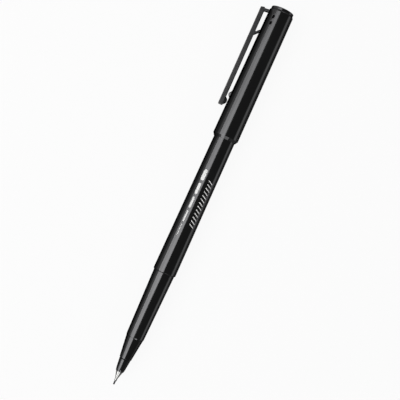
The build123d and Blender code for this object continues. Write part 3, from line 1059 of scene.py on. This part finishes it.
class PEN_OT_crown(bpy.types.Operator):
    """Turns the cap's crown with its gate mark, and the sealing cup inside the cap"""

    bl_idname = "pen.crown"
    bl_label = "Crown and Liner"

    def execute(self, context):
        pen = context.scene.pen
        size = pen.cap
        soft = size.edge_round
        tenon_end, top, crown_radius = span("cap_crown")
        cap_rear = span("cap_shell")[1]
        rim, liner_rear, flange = span("inner_cap")
        crown = lathe([
            (cap_rear, 0, 0),
            (cap_rear, flange - size.crown_wall, soft),
            (tenon_end, flange - size.crown_wall, soft),
            (tenon_end, flange, soft),
            (cap_rear, flange, soft),
            (cap_rear, crown_radius, soft),
            (top, crown_radius, size.crown_round),
            (top, size.gate_radius, soft),
            (top - size.gate_depth, size.gate_radius - size.gate_depth, soft),
            (top - size.gate_depth, 0, 0),
        ], closed=False)
        place(new_object("cap_end", crown), gloss_black(pen.finish), "cap", "cap_black", "cap_crown")
        floor = liner_rear - size.liner_end
        bore = size.liner_radius - size.liner_wall
        liner = lathe([
            (floor, 0, 0),
            (floor, bore, soft),
            (rim, bore, soft),
            (rim, size.liner_radius, soft),
            (floor, size.liner_radius, soft),
            (floor, flange, soft),
            (liner_rear, flange, soft),
            (liner_rear, 0, 0),
        ], closed=False)
        finish = pen.finish
        natural = shared_finish("natural_plastic", pale_plastic, finish.natural, finish.natural_roughness)
        place(new_object("cap_liner", liner), natural, "cap", "inner_cap_plastic", "inner_cap")
        return {"FINISHED"}


# Round of the clip's feet over that of its long edges, so that a drawn-in outline doesn't cross itself
FOOT_SHARE = 1.2
# Wear of the outline's corners over that of the long edges
CORNER_WEAR = 0.5


def clip_outline(size, cap):
    """Outline of the clip seen from the side: bar, stepped arm and strut as one closed line."""
    tail = span("clip_blade")[0]
    head = span("clip_bridge")[1] - size.arm_slant
    bend = np.array(FLEX["pos_m"]) - NIB_POINT
    bend_station, bend_height = bend @ REARWARD, bend @ CLIPWARD
    slope = size.rise / (head - tail)

    def under(station):
        """Height of the bar's underside at a station."""
        return bend_height - size.thickness / 2 + slope * (station - bend_station)

    def leg(top, thickness, slant):
        """Foot and underside corners of a leg's front and rear sides."""
        low = cap_radius(top + slant - thickness / 2, cap) - size.foot_depth
        middle = under(top) + size.thickness / 2
        lean = slant * (middle - under(top)) / (middle - low)
        return [((side + slant, low), (side + lean, under(side))) for side in (top - thickness, top)]

    (arm_low, arm_high), (arm_back, arm_top) = leg(head, size.arm, size.arm_slant)
    strut = leg(head - size.strut_place, size.strut, size.strut_slant)
    (strut_low, strut_high), (strut_back, strut_top) = strut
    inner, outer, foot = size.inner_round, size.corner_round, FOOT_SHARE * size.edge_round
    step_height = arm_top[1] + size.arm_step_height
    corners = [
        (arm_back[0] - size.arm_step, arm_back[1], foot),
        (arm_top[0] - size.arm_step, step_height - size.arm_step / 2, inner),
        (arm_top[0], step_height + size.arm_step / 2, foot),
        (head - size.head_slant, under(head) + size.thickness, outer),
        (tail, under(tail) + size.thickness, outer),
        (tail, under(tail), outer),
        (*strut_high, inner),
        (*strut_low, foot),
        (*strut_back, foot),
        (*strut_top, inner),
        (*arm_high, inner),
        (*arm_low, foot),
    ]
    return refined(soft_outline(corners, closed=True), closed=True, longest=LONGEST_RUN / 3)


def clip_skin(outline, size):
    """Skin of the clip: its outline carried across its width, drawn in round both long edges.

    Over each edge the outline moves sideways by the sine and inwards by one less the cosine of
    a quarter turn, times the edge's round. A flat face closes each side.
    """
    quarter = np.linspace(0, np.pi / 2, ARC_STEPS - 2)
    soft, half = size.edge_round, size.width / 2
    side = np.concatenate([[half - soft * (1 + SUPPORT)], half - soft + soft * np.sin(quarter), [half]])
    depth = np.concatenate([[0], soft * (1 - np.cos(quarter)), [soft * (1 + SUPPORT / 2)]])
    rub = np.concatenate([[0], np.ones(len(quarter)), [0]])
    side = np.concatenate([-side[::-1], side])[:, None]
    depth, rub = (np.concatenate([row[::-1], row])[:, None] for row in (depth, rub))
    inward = mitres(outline)
    station = outline[:, 0] + depth * inward[:, 0]
    height = outline[:, 1] + depth * inward[:, 1]
    grid = beside_pen(station, height, side + np.zeros_like(station))
    return grid_skin(grid, np.maximum(rub, CORNER_WEAR * outline[:, 2]), "plates")


# Rows and columns of the ball's grid, and the height of its upper half over that of a round one
BALL_ROWS = 49
BALL_COLUMNS = 96
BALL_TOP = 0.4


def ball_skin(station, height, radius, width):
    """Skin of the flat ball: a half ellipse carried round the line across its middle.

    Its upper half is pressed down, so that it stays inside the bar.
    """
    polar = np.linspace(0, np.pi, BALL_ROWS)[:, None]
    around = even_angles(BALL_COLUMNS)[None, :]
    ring = radius * np.sin(polar)
    rise = np.sin(around) * np.where(np.sin(around) > 0, BALL_TOP, 1)
    side = width / 2 * np.cos(polar) + np.zeros_like(around)
    grid = beside_pen(station + ring * np.cos(around), height + ring * rise, side)
    return grid_skin(grid, np.zeros((1, 1)), "points")


def unite(base, other):
    """Joins two closed meshes into one, and keeps a crease where they meet."""
    join = base.modifiers.new("join", "BOOLEAN")
    join.operation = "UNION"
    join.solver = "EXACT"
    join.object = other
    depsgraph = bpy.context.evaluated_depsgraph_get()
    mesh = bpy.data.meshes.new_from_object(base.evaluated_get(depsgraph))
    base.modifiers.clear()
    base.data = mesh
    bpy.data.objects.remove(other)
    mesh.set_sharp_from_angle(angle=CREASE)


class PEN_OT_clip(bpy.types.Operator):
    """Forms the clip as one moulding, with its ball"""

    bl_idname = "pen.clip"
    bl_label = "Clip"

    def execute(self, context):
        pen = context.scene.pen
        size = pen.clip
        clip = new_object("clip_body", clip_skin(clip_outline(size, pen.cap), size))
        ball_station = span("clip_blade")[0] + size.ball_setback
        ball_height = cap_radius(ball_station, pen.cap) + size.ball_gap + size.ball_radius
        ball = ball_skin(ball_station, ball_height, size.ball_radius, size.ball_width)
        unite(clip, new_object("clip_ball", ball))
        finish = pen.finish
        satin = shared_finish("satin_black", moulded_plastic, finish.clip_black, finish.rubbed, finish.satin)
        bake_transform(clip)
        place(clip, satin, None, "clip_black", "clip_bridge", "clip_blade")
        return {"FINISHED"}


# Studio


def compass(azimuth, elevation):
    """Direction at an azimuth from the near side towards the nib, and an elevation."""
    flat = cos(elevation)
    return np.array([flat * sin(azimuth), -flat * cos(azimuth), sin(elevation)])


WATTS_PER_BRIGHTNESS = 4.0


def softbox(name, distance, azimuth, elevation, width, height, brightness, matte_rows=0, shift=(0, 0)):
    """Flat panel of lamps that faces the pen, with a row of brightnesses for each of its rows.

    Its first rows light everything, and the rest are cards that only gloss mirrors. The shift moves
    the panel within its own plane, so that panels can be put edge to edge. Angles are in degrees.
    """
    azimuth, elevation = radians(azimuth), radians(elevation)
    back = compass(azimuth, elevation)
    right = np.array([cos(azimuth), sin(azimuth), 0.0])
    up = np.cross(back, right)
    brightness = np.atleast_2d(brightness)
    rows, columns = brightness.shape
    cell = width / columns, height / rows
    for (row, column), value in np.ndenumerate(brightness):
        data = bpy.data.lights.new(f"{name}_{row}_{column}", "AREA")
        data.shape = "RECTANGLE"
        data.size, data.size_y = cell
        data.energy = value * cell[0] * cell[1] * WATTS_PER_BRIGHTNESS
        lamp = bpy.data.objects.new(data.name, data)
        across = shift[0] + (column + 0.5) * cell[0] - width / 2
        above = shift[1] + height / 2 - (row + 0.5) * cell[1]
        middle = back * distance + right * across + up * above
        lamp.matrix_world = pose_matrix(right, up, back, middle)
        lamp.visible_camera = False
        lamp.visible_diffuse = row < matte_rows
        bpy.context.scene.collection.objects.link(lamp)


def pose_matrix(right, up, back, middle):
    """Matrix of a camera or lamp from its three directions and its place."""
    columns = np.column_stack([right, up, back, middle])
    return Matrix([*columns.tolist(), [0, 0, 0, 1]])


# Rings of the sweep, and the radius of the floor's middle face as a share of the floor's
SWEEP_RINGS = 33
FLOOR_HUB = 0.02


def sweep_skin(stage):
    """Points and faces of the floor and backdrop: a flat disc whose rim rises by a quarter of an ellipse."""
    bend = np.linspace(0, np.pi / 2, SWEEP_RINGS)
    rim = stage.floor_radius + (stage.wall_radius - stage.floor_radius) * np.sin(bend)
    radius = np.concatenate([[FLOOR_HUB * stage.floor_radius], rim])
    height = np.concatenate([[0], stage.wall_height * (1 - np.cos(bend))])
    angle = even_angles()
    grid = np.stack(np.broadcast_arrays(radius[:, None] * np.cos(angle), radius[:, None] * np.sin(angle),
                                        height[:, None] + CAD_BOX[0].z), axis=-1)
    number = np.arange(grid.shape[0] * grid.shape[1]).reshape(grid.shape[:2])
    low, high = number[:-1], number[1:]
    cells = np.stack([low, high, np.roll(high, -1, axis=1), np.roll(low, -1, axis=1)], axis=-1)
    faces = cells.reshape(-1, 4).tolist() + [number[0].tolist()]
    return grid.reshape(-1, 3), faces


# Columns of the dark card, its height above the floor and the share of its width that is fully dark
FLAG_COLUMNS = 25
FLAG_LIFT = 0.01 * MM
FLAG_CORE = 0.45


def dark_reflection_card_skin(stage):
    """Points, faces and shade of a card on the floor along the clip's side of the pen, which paints dark
    reflections.

    It grows wider in step with the pen from the nib to the crown, and its shade falls by a smooth
    step outside its core.
    """
    along = np.linspace(0, 1, 2)[:, None]
    across = np.linspace(0, 1, FLAG_COLUMNS)[None, :]
    width = stage.flag_nib + (stage.flag_crown - stage.flag_nib) * along
    x = NIB_POINT[0] + along * (CAD_BOX[0].x - NIB_POINT[0]) + 0 * across
    y = NIB_POINT[1] - width * across
    grid = np.stack([x, y, np.full_like(x, CAD_BOX[0].z + FLAG_LIFT)], axis=-1)
    number = np.arange(x.size).reshape(x.shape)
    faces = np.stack([number[0, :-1], number[0, 1:], number[1, 1:], number[1, :-1]], axis=-1)
    shade = stage.flag_dark * (1 - ease(across, FLAG_CORE, 1)) + 0 * along
    return grid.reshape(-1, 3), faces.tolist(), shade.ravel()


def new_sheet(name, points, faces, material):
    """Open sheet of the studio in its material, linked to the scene."""
    mesh = bpy.data.meshes.new(name)
    mesh.from_pydata(points.tolist(), [], faces)
    mesh.materials.append(material)
    sheet = bpy.data.objects.new(name, mesh)
    bpy.context.scene.collection.objects.link(sheet)
    return sheet


# Brightness of the key's cells as shares of the key light, beside cap and barrel and beside the taper
KEY_SHARES = np.array([[0.84, 1.02, 1.26], [0.68, 0.86, 1.04]])
TAPER_SHARES = np.array([[1.18, 1.15], [0.98, 0.95]])
# How much brighter the key's skirt is than the row above it, and the spark's share of the key light
SKIRT_BOOST = 1.6
SPARK_SHARE = 0.65


class PEN_OT_stage(bpy.types.Operator):
    """Sets the camera at the photographed angle, a white floor with a dark card that paints dark reflections,
    soft lamps and a dim room
    """

    bl_idname = "pen.stage"
    bl_label = "Studio"

    def execute(self, context):
        scene, stage = context.scene, context.scene.pen.stage
        paper = studio_paper("studio_paper", stage.floor_white, stage.backdrop_white, stage.floor_glow,
                             stage.floor_fade, stage.floor_radius)
        floor = new_sheet("floor", *sweep_skin(stage), paper)
        floor.data.shade_smooth()
        flag = self.flag(stage)
        self.light(scene, stage)
        self.aim(scene, stage)
        scene.view_settings.view_transform = "Standard"
        return {"FINISHED"}

    def light(self, scene, stage):
        """Key softbox on the clip's side, a strip opposite, cards for gloss round the ends and a dim room.

        The key's parts lie edge to edge in one plane. Its skirt, and the cards that light no matte
        surface, only give the gloss its highlights. Sizes and shifts are in metres.
        """
        far, key, taper = stage.lamp_distance, stage.key * KEY_SHARES, stage.key * TAPER_SHARES
        skirt, spark = SKIRT_BOOST * np.hstack([key, taper])[1:], SPARK_SHARE * stage.key
        side = {"distance": far, "azimuth": 9, "elevation": 26.2}
        softbox("key", **side, width=0.41, height=0.54, brightness=key, matte_rows=1, shift=(-0.135, 0))
        softbox("key_taper", **side, width=0.27, height=0.48, brightness=taper, matte_rows=1,
                shift=(0.205, -0.03))
        softbox("key_skirt", **side, width=0.68, height=0.03, brightness=skirt, shift=(0, -0.285))
        softbox("key_nib", far, azimuth=54, elevation=11, width=0.36, height=0.26, brightness=stage.key)
        softbox("strip", far, azimuth=180, elevation=32, width=0.5, height=0.25, brightness=stage.strip,
                matte_rows=1)
        softbox("nib_end", far, azimuth=83, elevation=31, width=0.26, height=0.24, brightness=stage.ends)
        softbox("spark", far, azimuth=80, elevation=42, width=0.36, height=0.13, brightness=spark)
        softbox("crown_end", far, azimuth=-80, elevation=27, width=0.26, height=0.24, brightness=stage.ends)
        world = bpy.data.worlds.new("room")
        world.use_nodes = True
        world.node_tree.nodes["Background"].inputs["Color"].default_value = grey(stage.room)
        scene.world = world

    def flag(self, stage):
        """Dark card that only gloss mirrors, which paints dark reflections on the pen's rims; it casts no
        shadow and the camera doesn't see it.
        """
        points, faces, shade = dark_reflection_card_skin(stage)
        flag = new_sheet("flag", points, faces, painted_dark_reflection_cloth("painted_dark_reflection_cloth"))
        shades = flag.data.attributes.new("shade", "FLOAT", "POINT")
        shades.data.foreach_set("value", shade.astype(np.float32))
        # Only gloss sees the card, so that it paints dark reflections and nothing else.
        flag.visible_camera = flag.visible_diffuse = flag.visible_transmission = flag.visible_shadow = False
        return flag

    def aim(self, scene, stage):
        """Camera square to the clip's side, with the pen leaning in the picture."""
        data = bpy.data.cameras.new("camera")
        data.sensor_width = stage.sensor
        data.lens = stage.sensor * stage.distance / stage.field
        camera = bpy.data.objects.new("camera", data)
        target = NIB_POINT + stage.aim_station * REARWARD - stage.aim_shift * CLIPWARD
        right = sin(stage.lean) * REARWARD - cos(stage.lean) * CLIPWARD
        up = cos(stage.lean) * REARWARD + sin(stage.lean) * CLIPWARD
        camera.matrix_world = pose_matrix(right, up, FACING, target + stage.distance * FACING)
        scene.collection.objects.link(camera)
        scene.camera = camera


GROUPS = (BarrelSizes, SectionSizes, TipSizes, CapSizes, ClipSizes, PrintSizes, Finishes, StageSizes,
          PenSettings)
OPERATORS = (PEN_OT_barrel, PEN_OT_print, PEN_OT_section, PEN_OT_tip, PEN_OT_cap, PEN_OT_crown, PEN_OT_clip,
             PEN_OT_stage)


class PEN_PT_panel(bpy.types.Panel):
    """Lists the pen's operators"""

    bl_idname = "PEN_PT_panel"
    bl_label = "Fineliner Pen"
    bl_space_type = "VIEW_3D"
    bl_region_type = "UI"
    bl_category = "Pen"

    def draw(self, context):
        for operator in OPERATORS:
            self.layout.operator(operator.bl_idname)


def register():
    """Registers the settings, operators and panel."""
    for made in (*GROUPS, *OPERATORS, PEN_PT_panel):
        bpy.utils.register_class(made)
    bpy.types.Scene.pen = PointerProperty(type=PenSettings)


def unregister():
    """Takes them out again, last first."""
    del bpy.types.Scene.pen
    for made in reversed((*GROUPS, *OPERATORS, PEN_PT_panel)):
        bpy.utils.unregister_class(made)


def main():
    """Builds the pen and its studio."""
    register()
    for operator in OPERATORS:
        group, name = operator.bl_idname.split(".")
        getattr(getattr(bpy.ops, group), name)()


if __name__ == "__main__":
    main()
